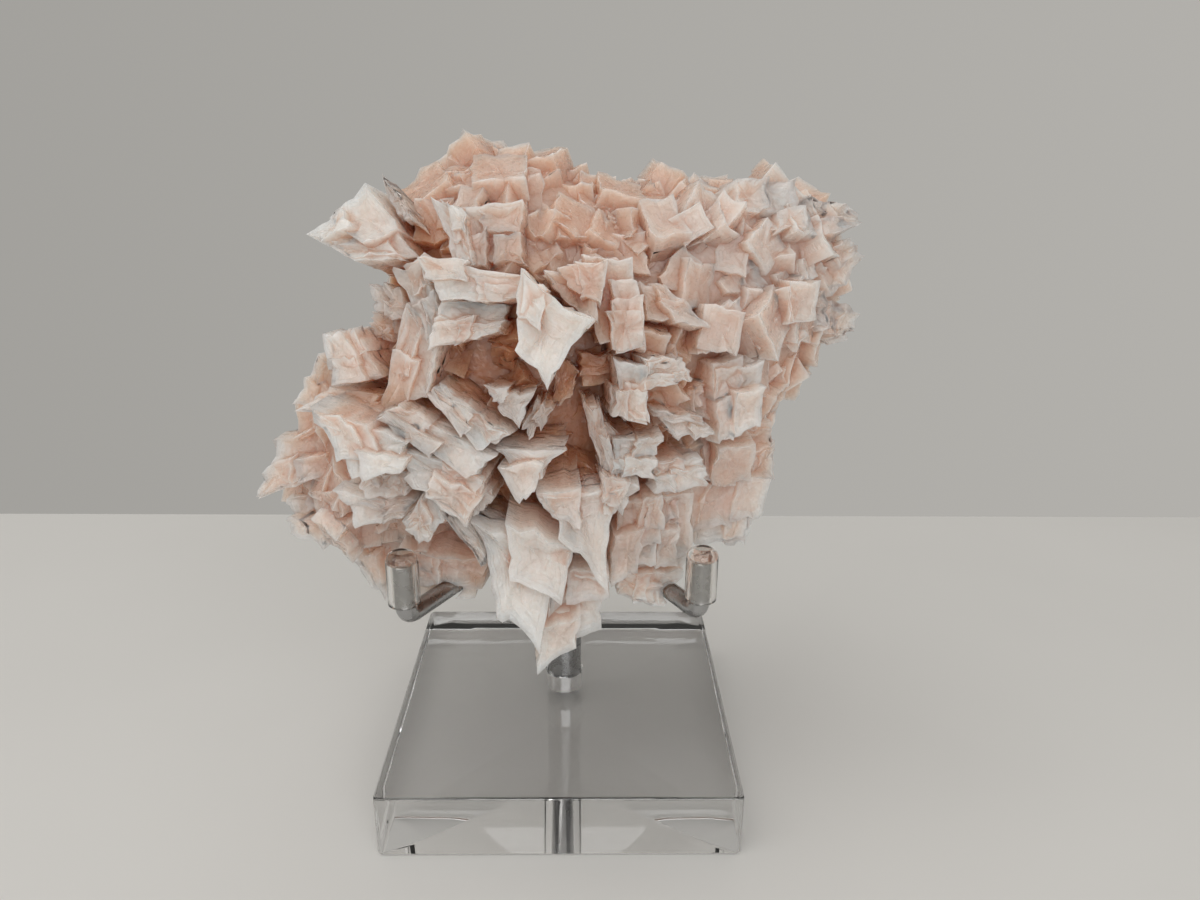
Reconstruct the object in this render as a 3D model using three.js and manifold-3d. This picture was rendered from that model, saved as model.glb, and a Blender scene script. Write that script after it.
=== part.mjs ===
// Pink halite: a cluster of hopper crystals grown together, on a small display stand.
// Millimetres, +Z up, the viewer looks along +Y. The origin is the middle of the stand's underside.
import * as THREE from "three";
import { mergeVertices } from "three/addons/utils/BufferGeometryUtils.js";
import Module from "manifold-3d";

const wasm = await Module();
wasm.setup();

// Clear block that the stand stands on.
const BLOCK_SIDE = 63.5;
const BLOCK_HEIGHT = 12.2;
const BLOCK_CHAMFER = 0.5;
const POST_DEPTH = 7.5;
const BORE_OPENING = 1;

// Post and bent wire arms. Hooks and rest are x, y places of the wires' upright ends.
const POST_Y = 8;
const POST_DIAMETER = 7;
const POST_TOP = 51.2;
const POST_EDGE = 0.8;
const WIRE_DIAMETER = 3;
const WIRE_BEND = 2.4;
const WIRE_SEAT = 2.95;
const ARM_HEIGHT = 48;
const LEFT_HOOK = [-23.6, -33];
const RIGHT_HOOK = [22.3, -31.5];
const HOOK_TOP = 57.3;
const BACK_REST = [0, 14.5];
const REST_TOP = 79;
const FIT_GAP = 0.3;

// Soft clear sleeves on the ends of the wires.
const SLEEVE_DIAMETER = 5;
const SLEEVE_CAP = 1.6;
const SLEEVE_LENGTH = 8.8;

// Crystal clearances and shape. A hopper face sinks by a share of its narrower width, and a face at least
// FLOOR_FROM wide has a flat floor with a small dip.
const STONE_GAP = 0.45;
const PINCH_SINK = 0.5;
const HOPPER_DEPTH = 0.24;
const FLOOR_SHARE = 0.5;
const FLOOR_FROM = 6.5;
const FLOOR_DIP = 1.15;
const ROOT_SHARE = 0.62;
const GROWTH_CENTRE = new THREE.Vector3(0, 0, 80);
const GROWTH_SPREAD = 0.55;

// Solid heart of the cluster: its outline from the front as x, z, and its depth.
const HEART_MIDDLE = new THREE.Vector3(0, -7, 80);
const HEART_HALF_DEPTH = 14;
const HEART_FULLNESS = 0.6;
const HEART_LEAN_X = 0.16;
const HEART_LEAN_Z = 0.06;
const HEART_BANDS = [-62, -38, -12, 16, 44, 68];
const HEART_OUTLINE = [
  [-22, 108], [-17, 113.5], [-9, 115], [-2, 113.5], [6, 110.5], [14, 110], [24.5, 110.5], [36, 110.5],
  [44, 107], [46.5, 101], [46, 93], [44, 86.5], [41, 80], [36.5, 73.5], [33, 66.5], [30, 60], [24, 55],
  [14, 53], [3, 53], [-8, 53], [-18, 53], [-28, 53.5], [-38, 57], [-43, 63.5], [-41, 72], [-34, 80],
  [-27, 87], [-25, 97],
];

// Large hopper crystals. Each row is a front face, clockwise from the front: four corners as x, z, then
// the depth y of its middle, how far it turns and leans back in degrees, its length to the root, and how
// far its edges are pinched in.
const HOPPERS = [
  // upper left
  [-27.5, 111.5, -20.5, 102, -29, 102, -34, 105, -24, 15, 25, 16, 0.02],
  [-25.5, 113, -23.5, 111, -20.5, 107, -23.5, 108, -21, -20, 15, 10, 0.05],
  [-17.5, 110, -13, 108.5, -12, 102, -14.5, 101.5, -26, -25, 10, 14, 0.04],
  [-13, 109, -5.5, 109.5, -5.5, 102, -12.5, 101.5, -24, 15, 10, 14, 0.05],
  [-18.5, 102.5, -4, 100.5, -5, 97.5, -16, 97.5, -31, 5, 35, 16, 0.05],
  [-16.5, 97, -7, 96.5, -8, 92.5, -17.5, 91, -31, 5, 10, 16, 0.05],
  [-24, 100, -19.5, 102, -16.5, 94, -18.5, 90.5, -27, -30, 10, 14, 0.08],
  [-28, 97.5, -23.5, 97, -22.5, 93, -27.5, 93.5, -22, -10, 10, 12, 0.06],
  [-28, 93, -23, 92.5, -23.5, 89, -28, 89.5, -21, -10, 5, 12, 0.06],
  [-22, 94.5, -17, 90.5, -19, 82.5, -26, 80.5, -28, -25, 15, 16, 0.06],
  [-18, 89, -13, 89, -16, 85, -19.5, 82.5, -23, 20, 10, 12, 0.05],
  [-34, 90.5, -30.5, 91, -26, 84.5, -32.5, 84, -26, 15, 25, 16, 0.08],
  [-36.5, 86.5, -34, 82, -37, 79, -40, 79.5, -22, -15, 10, 12, 0.06],
  [-34, 83, -26.5, 81.5, -27.5, 79.5, -38, 80, -27, 5, 40, 14, 0.06],
  // left middle
  [-34, 81.5, -21, 77.5, -22, 74, -29, 73, -36, 5, 20, 18, 0.1],
  [-28.5, 72.5, -22, 72, -22.5, 69, -28, 69, -34, 5, 15, 12, 0.04],
  [-32, 69, -21.5, 67.5, -23.5, 65, -29.5, 64, -34, 5, 20, 14, 0.05],
  [-22.5, 81.5, -9, 75, -12.5, 72, -25, 80, -34, 5, 30, 16, 0.06],
  [-21.5, 76, -10.5, 72, -13, 66.5, -21.5, 72, -36, 5, 20, 16, 0.06],
  [-13.5, 72.5, -9.5, 68, -11.5, 66, -14, 66, -35, 35, 15, 12, 0.1],
  [-18.5, 70.5, -16.5, 66, -20, 62.5, -22, 65.5, -36, -20, 15, 14, 0.08],
  [-18.5, 70.5, -16.5, 68.5, -10.5, 59, -11.5, 59, -36, 30, 15, 14, 0.03],
  // centre
  [-17, 84.5, -7.5, 78, -11, 76, -18.5, 83, -32, 5, 35, 14, 0.06],
  [-16.5, 85.5, -9.5, 83, -13, 80, -18, 83, -23, 5, 25, 10, 0.05],
  [-10, 84, -3, 83.5, -5.5, 78.5, -8, 80.5, -31, 10, 20, 14, 0.22],
  [-5.5, 78.5, -3, 82, -0.5, 80, -4, 76.5, -30, 30, 15, 12, 0.16],
  [-9, 76, 1.5, 75.5, -2, 71.5, -5.5, 69, -34, 5, 20, 16, 0.24],
  [-4, 101, 5.5, 96, -1, 87, -5.5, 91.5, -38, -10, 20, 20, 0.14],
  [3.5, 103.5, 11, 102.5, 12.5, 90, 6, 90, -27, 10, 10, 16, 0.1],
  [-2, 100.5, 6.5, 102, 6, 93.5, 1, 96.5, -28, -5, 15, 14, 0.08],
  [0.5, 87, 3, 85, 2, 81, -1, 80, -24, -10, 10, 10, 0.05],
  [3.5, 87.5, 13.5, 87.5, 12.5, 84.5, 4, 82.5, -23, 5, 20, 12, 0.04],
  [8.5, 88.5, 13, 88, 13, 80, 8.5, 80, -31, -20, 10, 14, 0.08],
  [13, 88.5, 18.5, 88, 19.5, 85, 13, 84.5, -29, 30, 20, 12, 0.06],
  [1, 65.5, 4.5, 68, 7, 66, 5, 64, -27, 5, 20, 8, 0.08],
  [4, 80.5, 6.5, 81, 9, 71.5, 6.5, 71.5, -29, -20, 10, 12, 0.05],
  [6.5, 78.5, 11, 74.5, 9, 72, 7.5, 74, -28, 25, 20, 10, 0.06],
  // right middle
  [24.5, 84.5, 32, 86, 31, 76, 25, 74, -21, 5, 10, 16, 0.06],
  [22, 93.5, 27.5, 95, 27.5, 88.5, 21.5, 87.5, -20, 5, 15, 14, 0.05],
  [12.5, 98, 16.5, 97, 22, 92, 13.5, 93, -22, 10, 25, 12, 0.1],
  [14.5, 80, 22, 78.5, 23, 76.5, 18, 75.5, -27, 5, 25, 12, 0.06],
  [8.5, 76, 15.5, 76, 14, 71, 8.5, 71.5, -30, 5, 20, 12, 0.08],
  [14.5, 71.5, 22.5, 71.5, 22.5, 68, 15.5, 67.5, -27, 10, 25, 12, 0.06],
  [23, 75.5, 29, 72, 28.5, 65, 23.5, 65.5, -18, 10, 10, 12, 0.03],
  [29.5, 71.5, 35.5, 72.5, 35.5, 64.5, 30, 63.5, -14, 15, 5, 12, 0.03],
  [21.5, 64, 34.5, 64.5, 31.5, 54, 22.5, 54, -18, 15, 10, 14, 0.03],
  [19.5, 80.5, 25, 82.5, 24.5, 76.5, 19.5, 77.5, -20, 5, 15, 10, 0.05],
  // lower middle
  [-2, 69, 10, 69.5, 7.5, 55, 0.5, 62.5, -35, 10, 20, 18, 0.14],
  [7, 71, 12.5, 69.5, 10, 65, 7, 65.5, -32, 20, 15, 12, 0.08],
  [-12.5, 65, 2, 60, -2.5, 45.5, -9, 50.5, -37, 5, 15, 18, 0.16],
  [-1, 55.5, 7.5, 54, 6.5, 46, -2.5, 41.5, -33, 5, 10, 16, 0.08],
  [9.5, 64.5, 16, 66, 15.5, 55.5, 8.5, 52.5, -28, -10, 10, 14, 0.04],
  [16, 65.5, 21.5, 65, 21.5, 54.5, 15.5, 54.5, -26, 20, 10, 14, 0.04],
  [9.5, 54, 21.5, 54.5, 17.5, 46.5, 10, 48.5, -26, 5, 5, 14, 0.05],
  // left rim
  [-45, 73, -38, 75.5, -36, 68.5, -47, 64.5, -22, 0, 15, 16, 0.05],
  [-45, 62, -36, 64, -36, 54, -43.5, 56.5, -20, -10, 5, 16, 0.04],
  [-36, 57, -25, 56.5, -27.5, 45.5, -31, 48, -22, -10, 0, 16, 0.05],
  [-24.5, 56.5, -12.5, 53, -14, 46, -26, 47.5, -25, 10, 0, 16, 0.05],
  // upper right
  [26, 99.5, 29.5, 102, 32.5, 97, 28.5, 94.5, -14, 5, 15, 12, 0.03],
  [39, 94, 44, 94.5, 45, 89, 39.5, 88, -8, 10, 10, 12, 0.04],
  [46, 92.5, 50.5, 90, 49, 86, 45, 87.5, -4.5, 25, 5, 12, 0.06],
  [40.5, 100.5, 47, 102.5, 50, 99, 45, 94, -6, 20, 10, 12, 0.05],
  [28, 111.5, 37.5, 112.5, 38.5, 105.5, 29, 104.5, -10, 5, 25, 14, 0.03],
  [40.5, 109.5, 46.5, 108.5, 49.5, 105.5, 42.5, 103.5, -6, 20, 20, 12, 0.05],
];

// Small crystals that cover the top, the edges and the back.
const DRUSE_COUNT = 74;
const DRUSE_EDGE = 5;
const DRUSE_GROWTH = 5;
const DRUSE_SPREAD = 2;
const DRUSE_TILT = 0.6;
const DRUSE_BIAS = 1.4;
const DRUSE_FRONT = -66;
const DRUSE_BACK = 84;
const DRUSE_HOLLOW = 0.16;
const DRUSE_PROUD = 0.3;
const DRUSE_FRONT_LEFT = -30;
const DRUSE_RIGHT_OF = 20;
const DRUSE_RIGHT_SLOPE = 0.5;
const DRUSE_ABOVE = 101;
const GOLDEN_STEP = 0.618034;

const WIRE_STEP = 2.4;
const WIRE_SIDES = 8;
const ROUND_SIDES = 16;
const SAME_POINT = 1e-4;

function toSolid(geometry) {
  const bare = geometry.clone();
  bare.deleteAttribute("normal");
  bare.deleteAttribute("uv");
  const merged = mergeVertices(bare, SAME_POINT);
  return new wasm.Manifold(
    new wasm.Mesh({
      numProp: 3,
      vertProperties: new Float32Array(merged.attributes.position.array),
      triVerts: new Uint32Array(merged.index.array),
    }),
  );
}

function toGeometry(solid) {
  const mesh = solid.getMesh();
  const geometry = new THREE.BufferGeometry();
  geometry.setAttribute("position", new THREE.BufferAttribute(mesh.vertProperties, 3));
  geometry.setIndex(new THREE.BufferAttribute(mesh.triVerts, 1));
  geometry.computeVertexNormals();
  return geometry;
}

// A geometry from rings of equal length, the first and last closed by one point each.
function ringGeometry(rings, firstPoint, lastPoint) {
  const size = rings[0].length;
  const points = [firstPoint, ...rings.flat(), lastPoint];
  const last = points.length - 1;
  const triangles = [];
  for (let i = 0; i < size; i++) {
    const j = (i + 1) % size;
    triangles.push(0, 1 + i, 1 + j);
    for (let k = 0; k + 1 < rings.length; k++) {
      const near = 1 + k * size;
      const far = near + size;
      triangles.push(near + i, far + i, near + j);
      triangles.push(near + j, far + i, far + j);
    }
    const rim = 1 + (rings.length - 1) * size;
    triangles.push(last, rim + j, rim + i);
  }
  const geometry = new THREE.BufferGeometry();
  geometry.setAttribute(
    "position",
    new THREE.Float32BufferAttribute(points.flatMap((p) => p.toArray()), 3),
  );
  geometry.setIndex(triangles);
  return geometry;
}

// Repeatable number from 0 to 1 for the crystal with this index and purpose.
function chance(index, purpose) {
  const value = Math.sin(index * 12.9898 + purpose * 78.233) * 43758.5453;
  return value - Math.floor(value);
}

function average(points) {
  const sum = points.reduce((total, p) => total.add(p), new THREE.Vector3());
  return sum.divideScalar(points.length);
}

// The narrower width of a four-cornered face, between the middles of opposite edges.
function faceWidth(corners) {
  const middles = corners.map((p, i) => average([p, corners[(i + 1) % corners.length]]));
  return Math.min(middles[0].distanceTo(middles[2]), middles[1].distanceTo(middles[3]));
}

// A hopper crystal: its face's edges are pinched in, the face steps down to a sunken floor, and the sides
// draw in to a root. Corners run clockwise as seen from outside.
function hopperCrystal(corners, root, pinch) {
  const middle = average(corners);
  const inward = root.clone().sub(middle).normalize();
  const rim = [];
  corners.forEach((corner, i) => {
    const next = corners[(i + 1) % corners.length];
    const edge = corner.distanceTo(next);
    const between = corner.clone().lerp(next, 0.5).lerp(middle, pinch);
    rim.push(corner.clone());
    rim.push(between.addScaledVector(inward, pinch * edge * PINCH_SINK));
  });
  const width = faceWidth(corners);
  const sunk = (p, share) => p.clone().addScaledVector(inward, HOPPER_DEPTH * width * share);
  const floor = rim.map((p) => sunk(p.clone().lerp(middle, FLOOR_SHARE), 1));
  const foot = rim.map((p) => p.clone().sub(middle).multiplyScalar(ROOT_SHARE).add(root));
  const rings = width > FLOOR_FROM ? [foot, rim, floor] : [foot, rim];
  return ringGeometry(rings, root, sunk(middle, FLOOR_DIP));
}

// The corners of one row of the list of large crystals.
function faceCorners(row) {
  const [x1, z1, x2, z2, x3, z3, x4, z4, y, turn, lean] = row;
  const flat = [[x1, z1], [x2, z2], [x3, z3], [x4, z4]];
  const midX = (x1 + x2 + x3 + x4) / 4;
  const midZ = (z1 + z2 + z3 + z4) / 4;
  const slopeX = Math.tan(THREE.MathUtils.degToRad(turn));
  const slopeZ = Math.tan(THREE.MathUtils.degToRad(lean));
  return flat.map(
    ([x, z]) => new THREE.Vector3(x, y + slopeX * (x - midX) + slopeZ * (z - midZ), z),
  );
}

// Large crystals grow out from the heart, so their roots point back towards its middle.
function largeCrystal(row) {
  const corners = faceCorners(row);
  const [length, pinch] = row.slice(-2);
  const middle = average(corners);
  const source = middle.clone().sub(GROWTH_CENTRE).multiplyScalar(GROWTH_SPREAD).add(GROWTH_CENTRE);
  source.y = GROWTH_CENTRE.y;
  const root = middle.clone().addScaledVector(source.sub(middle).normalize(), length);
  return hopperCrystal(corners, root, pinch);
}

// A point on the heart: share runs once round the outline, angle goes from -90 in front to 90 at the back.
function heartPoint(share, angle) {
  const place = share * HEART_OUTLINE.length;
  const first = Math.floor(place) % HEART_OUTLINE.length;
  const [x1, z1] = HEART_OUTLINE[first];
  const [x2, z2] = HEART_OUTLINE[(first + 1) % HEART_OUTLINE.length];
  const along = place - Math.floor(place);
  const radians = THREE.MathUtils.degToRad(angle);
  const spread = Math.cos(radians) ** HEART_FULLNESS;
  const x = spread * THREE.MathUtils.lerp(x1, x2, along);
  const z = spread * (THREE.MathUtils.lerp(z1, z2, along) - HEART_MIDDLE.z) + HEART_MIDDLE.z;
  const lean = HEART_LEAN_X * x + HEART_LEAN_Z * (z - HEART_MIDDLE.z);
  return new THREE.Vector3(x, HEART_MIDDLE.y + HEART_HALF_DEPTH * Math.sin(radians) + lean, z);
}

function heart() {
  const count = HEART_OUTLINE.length;
  const rings = HEART_BANDS.map((angle) =>
    HEART_OUTLINE.map((point, i) => heartPoint((count - i) / count, angle)),
  );
  return ringGeometry(rings, heartPoint(0, -90), heartPoint(0, 90));
}

// The large crystals fill the front, so small ones are left to the top, the right and behind.
function openToDruse(point, angle) {
  const rightward = point.x + DRUSE_RIGHT_SLOPE * (point.z - HEART_MIDDLE.z);
  return angle > DRUSE_FRONT_LEFT || rightward > DRUSE_RIGHT_OF || point.z > DRUSE_ABOVE;
}

// A small crystal: a block on the heart's skin with a slightly hollow face.
function smallCrystal(index) {
  const share = (index * GOLDEN_STEP) % 1;
  const backward = ((index + 0.5) / DRUSE_COUNT) ** DRUSE_BIAS;
  const angle = THREE.MathUtils.lerp(DRUSE_FRONT, DRUSE_BACK, backward);
  const place = heartPoint(share, angle);
  if (!openToDruse(place, angle)) return null;
  const radians = THREE.MathUtils.degToRad(angle);
  const out = new THREE.Vector3(place.x, 0, place.z - HEART_MIDDLE.z).normalize();
  out.multiplyScalar(Math.cos(radians)).add(new THREE.Vector3(0, Math.sin(radians), 0));
  const wobble = [1, 2, 3].map((k) => DRUSE_TILT * (chance(index, k) - 0.5));
  out.add(new THREE.Vector3(...wobble)).normalize();
  const edge = DRUSE_EDGE + DRUSE_GROWTH * backward + DRUSE_SPREAD * chance(index, 4);
  const turn = new THREE.Quaternion().setFromUnitVectors(new THREE.Vector3(0, -1, 0), out);
  const spin = Math.PI * chance(index, 5);
  const half = edge / 2;
  const corners = [[-1, 1], [1, 1], [1, -1], [-1, -1]].map(([x, z]) =>
    new THREE.Vector3(x * half, 0, z * half)
      .applyAxisAngle(new THREE.Vector3(0, 1, 0), spin)
      .applyQuaternion(turn)
      .addScaledVector(out, edge * DRUSE_PROUD)
      .add(place),
  );
  const middle = average(corners);
  const floor = middle.clone().addScaledVector(out, -edge * DRUSE_HOLLOW);
  const foot = corners.map((p) => p.clone().addScaledVector(out, -edge));
  return ringGeometry([foot, corners], average(foot), floor);
}

// Wire centre line from the post out along the floor of the arm, round a bend and up.
function wirePath(x, y, top) {
  const axis = new THREE.Vector3(0, POST_Y, ARM_HEIGHT);
  const out = new THREE.Vector3(x, y - POST_Y, 0).normalize();
  const level = (distance) => axis.clone().addScaledVector(out, distance);
  const reach = Math.hypot(x, y - POST_Y);
  const path = new THREE.CurvePath();
  const bendStart = level(reach - WIRE_BEND);
  const bendEnd = new THREE.Vector3(x, y, ARM_HEIGHT + WIRE_BEND);
  path.add(new THREE.LineCurve3(level(WIRE_SEAT), bendStart));
  path.add(new THREE.QuadraticBezierCurve3(bendStart, level(reach), bendEnd));
  path.add(new THREE.LineCurve3(bendEnd, new THREE.Vector3(x, y, top)));
  return path;
}

// A round bar along a path, made once as the wire and again, fatter, as the room around it.
function roundBar(path, radius) {
  const section = new THREE.Shape();
  section.absarc(0, 0, radius, 0, 2 * Math.PI);
  const steps = Math.round(path.getLength() / WIRE_STEP);
  return new THREE.ExtrudeGeometry(section, {
    extrudePath: path,
    steps,
    curveSegments: WIRE_SIDES / 2,
    bevelEnabled: false,
  });
}

// Lathe profiles are radius, height pairs turned about the upright axis.
function turned(profile) {
  const points = profile.map(([radius, height]) => new THREE.Vector2(radius, height));
  return new THREE.LatheGeometry(points, ROUND_SIDES).rotateX(Math.PI / 2);
}

// Square block with its edges broken all round, bored from above for the post.
function baseBlock() {
  const half = BLOCK_SIDE / 2 - BLOCK_CHAMFER;
  const cut = half - BLOCK_CHAMFER;
  const outline = new THREE.Shape([
    new THREE.Vector2(half, -cut), new THREE.Vector2(half, cut),
    new THREE.Vector2(cut, half), new THREE.Vector2(-cut, half),
    new THREE.Vector2(-half, cut), new THREE.Vector2(-half, -cut),
    new THREE.Vector2(-cut, -half), new THREE.Vector2(cut, -half),
  ]);
  const block = new THREE.ExtrudeGeometry(outline, {
    depth: BLOCK_HEIGHT - 2 * BLOCK_CHAMFER,
    bevelSize: BLOCK_CHAMFER,
    bevelThickness: BLOCK_CHAMFER,
    bevelSegments: 1,
  });
  block.translate(0, 0, BLOCK_CHAMFER);
  const radius = POST_DIAMETER / 2 + FIT_GAP;
  const floor = BLOCK_HEIGHT - POST_DEPTH - FIT_GAP;
  const above = BLOCK_HEIGHT + BORE_OPENING;
  const bore = turned([[0, floor], [radius, floor], [radius, above], [0, above]]).translate(0, POST_Y, 0);
  return toGeometry(toSolid(block).subtract(toSolid(bore)));
}

// Round post with a broken top edge, drilled for the three wires.
function post(wires) {
  const radius = POST_DIAMETER / 2;
  const foot = BLOCK_HEIGHT - POST_DEPTH;
  const rod = turned([
    [0, foot], [radius, foot], [radius, POST_TOP - POST_EDGE], [radius - POST_EDGE, POST_TOP], [0, POST_TOP],
  ]).translate(0, POST_Y, 0);
  const holes = wires.map((path) => {
    const start = path.getPoint(0);
    const out = path.getTangent(0);
    const hole = new THREE.LineCurve3(
      start.clone().addScaledVector(out, -FIT_GAP),
      start.clone().addScaledVector(out, POST_DIAMETER),
    );
    return toSolid(roundBar(hole, WIRE_DIAMETER / 2 + FIT_GAP));
  });
  return toGeometry(holes.reduce((solid, hole) => solid.subtract(hole), toSolid(rod)));
}

// Thin soft cup with a domed end that slips over the tip of a wire.
function sleeve(x, y, wireTop) {
  const outer = SLEEVE_DIAMETER / 2;
  const inner = WIRE_DIAMETER / 2 + FIT_GAP;
  const crown = wireTop + FIT_GAP + SLEEVE_CAP;
  const bottom = crown - SLEEVE_LENGTH;
  const dome = [0, 30, 60].map((degrees) => {
    const angle = THREE.MathUtils.degToRad(degrees);
    const rise = SLEEVE_CAP * Math.sin(angle);
    return [outer - SLEEVE_CAP + SLEEVE_CAP * Math.cos(angle), crown - SLEEVE_CAP + rise];
  });
  const profile = [
    [0, wireTop + FIT_GAP], [inner, wireTop + FIT_GAP], [inner, bottom], [outer, bottom],
    ...dome, [outer - SLEEVE_CAP, crown], [0, crown],
  ];
  return turned(profile).translate(x, y, 0);
}

// The cluster: heart, large crystals and druse joined, with room left for the arms that carry it.
function haliteCluster(wires, tips) {
  const crystals = HOPPERS.map(largeCrystal);
  for (let i = 0; i < DRUSE_COUNT; i++) {
    const small = smallCrystal(i);
    if (small) crystals.push(small);
  }
  let solid = crystals.reduce((all, crystal) => all.add(toSolid(crystal)), toSolid(heart()));
  for (const path of wires) {
    solid = solid.subtract(toSolid(roundBar(path, WIRE_DIAMETER / 2 + STONE_GAP)));
  }
  for (const [x, y, top] of tips) {
    const room = new THREE.LineCurve3(
      new THREE.Vector3(x, y, top - SLEEVE_LENGTH),
      new THREE.Vector3(x, y, top + SLEEVE_CAP + FIT_GAP + STONE_GAP),
    );
    solid = solid.subtract(toSolid(roundBar(room, SLEEVE_DIAMETER / 2 + STONE_GAP)));
  }
  const postRoom = POST_DIAMETER / 2 + STONE_GAP;
  const postCrown = POST_TOP + STONE_GAP;
  const room = turned([[0, 0], [postRoom, 0], [postRoom, postCrown], [0, postCrown]]);
  solid = solid.subtract(toSolid(room.translate(0, POST_Y, 0)));
  const bodies = solid.decompose().sort((a, b) => b.volume() - a.volume());
  return toGeometry(bodies[0]);
}

const finish = {
  halite: new THREE.MeshStandardMaterial({ color: 0xe3c4b6, roughness: 0.42, metalness: 0 }),
  acrylic: new THREE.MeshStandardMaterial({ color: 0xe6e8e8, roughness: 0.05, metalness: 0 }),
  steel: new THREE.MeshStandardMaterial({ color: 0x8d8f90, roughness: 0.28, metalness: 1 }),
  vinyl: new THREE.MeshStandardMaterial({ color: 0xd9d8d4, roughness: 0.15, metalness: 0 }),
};

function piece(name, geometry, material) {
  const mesh = new THREE.Mesh(geometry, material);
  mesh.name = name;
  return mesh;
}

const tips = [
  [...LEFT_HOOK, HOOK_TOP],
  [...RIGHT_HOOK, HOOK_TOP],
  [...BACK_REST, REST_TOP],
];
const wires = tips.map(([x, y, top]) => wirePath(x, y, top));
const sides = ["left", "right", "back"];

const specimen = new THREE.Group();
specimen.add(piece("acrylic_base", baseBlock(), finish.acrylic));
specimen.add(piece("post", post(wires), finish.steel));
sides.forEach((side, i) => {
  specimen.add(piece(`arm_${side}`, roundBar(wires[i], WIRE_DIAMETER / 2), finish.steel));
  specimen.add(piece(`sleeve_${side}`, sleeve(...tips[i]), finish.vinyl));
});
specimen.add(piece("halite_cluster", haliteCluster(wires, tips), finish.halite));

export default specimen;
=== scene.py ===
"""Pink halite on a display stand: hopper crystals grown together, on sleeved wire arms and a clear block.

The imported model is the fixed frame. Lengths in the tables and shape functions are millimetres in that
frame, with X to the right, Y away from the viewer and Z up. Meshes are put into the scene in metres.
"""

import math
from dataclasses import dataclass, replace

import bpy
import numpy as np
from bpy.props import FloatProperty, FloatVectorProperty, IntProperty, PointerProperty
from mathutils import Matrix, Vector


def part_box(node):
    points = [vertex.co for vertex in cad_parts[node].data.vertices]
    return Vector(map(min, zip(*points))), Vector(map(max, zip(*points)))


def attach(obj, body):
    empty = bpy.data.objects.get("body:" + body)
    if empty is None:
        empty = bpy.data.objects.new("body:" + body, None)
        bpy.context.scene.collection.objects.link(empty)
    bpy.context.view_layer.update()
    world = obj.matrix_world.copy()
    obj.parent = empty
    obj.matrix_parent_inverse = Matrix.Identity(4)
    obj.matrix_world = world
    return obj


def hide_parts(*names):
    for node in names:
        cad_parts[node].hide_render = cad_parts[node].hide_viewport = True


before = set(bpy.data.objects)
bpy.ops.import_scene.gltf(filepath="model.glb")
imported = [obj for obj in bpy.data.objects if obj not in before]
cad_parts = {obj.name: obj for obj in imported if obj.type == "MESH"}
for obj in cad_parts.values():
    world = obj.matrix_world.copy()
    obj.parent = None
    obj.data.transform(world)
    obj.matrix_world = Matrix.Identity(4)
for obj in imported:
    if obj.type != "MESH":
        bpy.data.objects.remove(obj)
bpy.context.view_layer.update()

bl_info = {
    "name": "Pink Halite on a Stand",
    "version": (1, 0, 0),
    "blender": (4, 5, 0),
    "location": "View3D > Sidebar > Halite",
    "description": "Builds a cluster of hopper halite crystals, its display stand and a plain studio",
    "category": "Add Mesh",
}

MM = 0.001


def node_box(name):
    """Lowest and highest corner of a node of the frame, in millimetres."""
    low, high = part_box(name)
    return np.array(low) / MM, np.array(high) / MM


# The solid heart of the cluster: its outline from the front as x, z, and how it fills out in depth.
HEART_MIDDLE = np.array([0.0, -7.0, 80.0])
HEART_HALF_DEPTH = 14.0
HEART_FULLNESS = 0.6
HEART_LEAN_X = 0.16
HEART_LEAN_Z = 0.06
HEART_OUTLINE = np.array([
    (-22, 108), (-17, 113.5), (-9, 115), (-2, 113.5), (6, 110.5), (14, 110), (24.5, 110.5), (36, 110.5),
    (44, 107), (46.5, 101), (46, 93), (44, 86.5), (41, 80), (36.5, 73.5), (33, 66.5), (30, 60), (24, 55),
    (14, 53), (3, 53), (-8, 53), (-18, 53), (-28, 53.5), (-38, 57), (-43, 63.5), (-41, 72), (-34, 80),
    (-27, 87), (-25, 97),
])

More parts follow.
